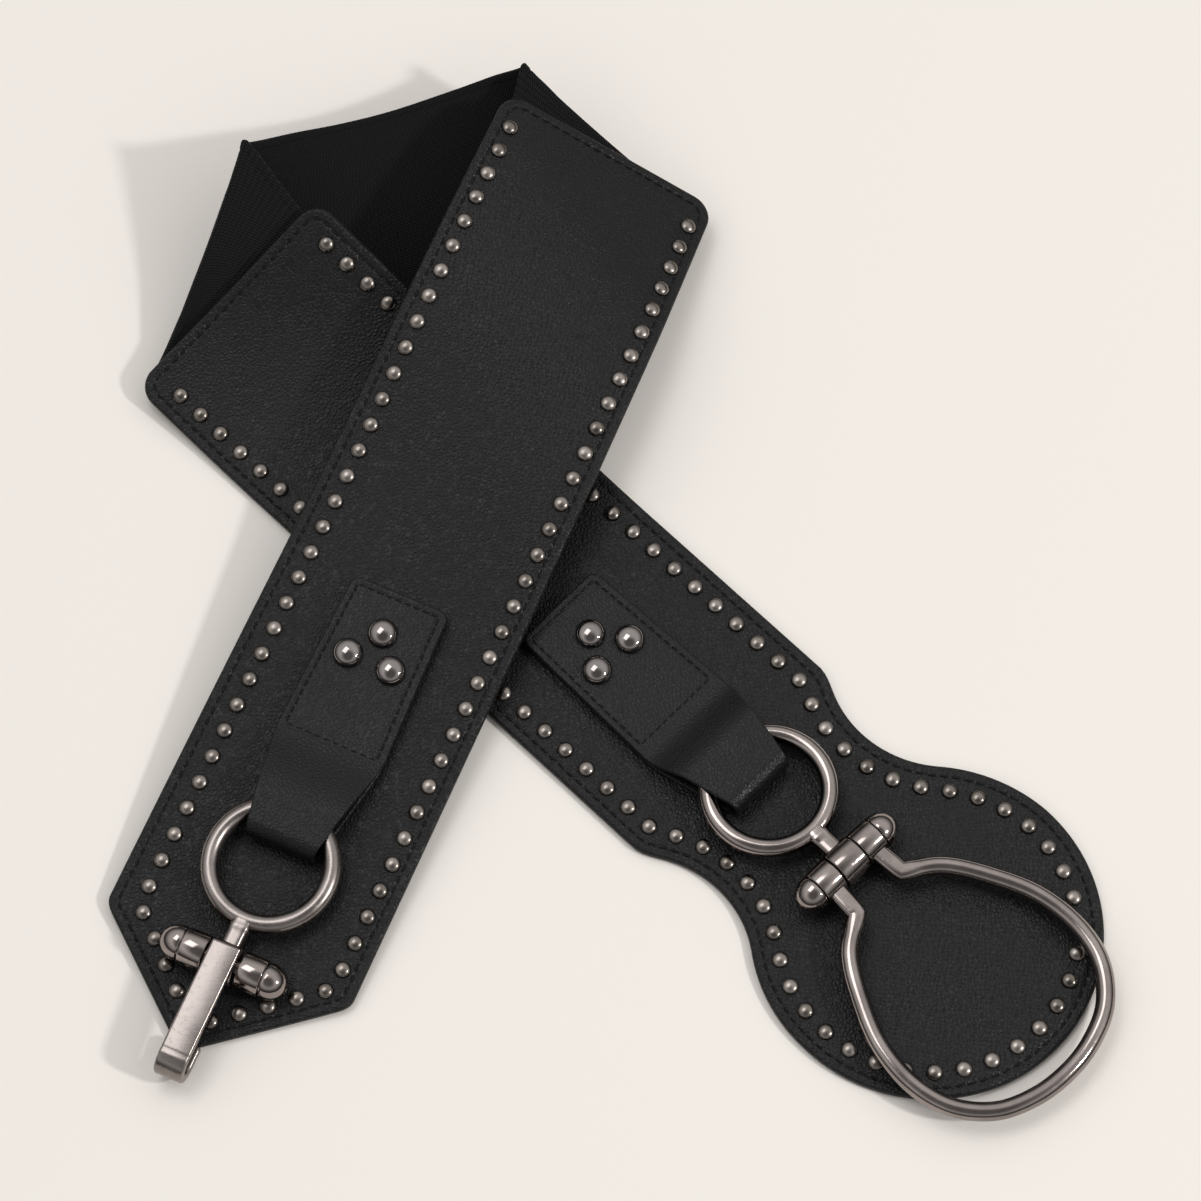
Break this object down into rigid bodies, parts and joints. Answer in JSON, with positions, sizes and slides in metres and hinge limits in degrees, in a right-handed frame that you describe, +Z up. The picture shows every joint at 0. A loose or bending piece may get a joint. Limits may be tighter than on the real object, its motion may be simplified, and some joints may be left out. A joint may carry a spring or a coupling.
{
  "type": "wide elastic belt",
  "caption": "Wide black waist belt: two studded leather panels on a folded elastic, closed by a flat hook on one ring and a hinged stirrup on the other.",
  "frame": {"origin": "middle of the belt's box in plan, on the surface it lies on", "axes": "+Z up, +Y away from the free ends towards the elastic, +X towards the stirrup's end"},
  "size_m": [0.2824, 0.3198, 0.0342],
  "materials": {
    "black_leather": "smooth fine-grained black faux leather with a soft sheen",
    "black_elastic": "matte woven black elastic",
    "polished_gunmetal": "polished dark nickel with warm grey reflections",
    "mirror_gunmetal": "mirror-polished dark domes",
    "satin_gunmetal": "satin brushed flat bar with brighter edges"
  },
  "bodies": {
    "belt": {"hook_panel": "black_leather", "stirrup_panel": "black_leather", "elastic_band": "black_elastic", "hook_tab": "black_leather", "stirrup_tab": "black_leather", "hook_rivet_1": "mirror_gunmetal", "hook_rivet_2": "mirror_gunmetal", "hook_rivet_3": "mirror_gunmetal", "stirrup_rivet_1": "mirror_gunmetal", "stirrup_rivet_2": "mirror_gunmetal", "stirrup_rivet_3": "mirror_gunmetal", "hook_casting": "satin_gunmetal", "hook_crosspin": "polished_gunmetal", "ring_casting": "polished_gunmetal", "hinge_pin": "polished_gunmetal"},
    "stirrup": {"stirrup": "polished_gunmetal"}
  },
  "joints": [
    {"name": "stirrup_hinge", "type": "hinge", "parent": "belt", "child": "stirrup", "pos_m": [0.0665, -0.08473, 0.00877], "axis": [-0.712, -0.7021, 0], "range_deg": [0, 120]}
  ]
}
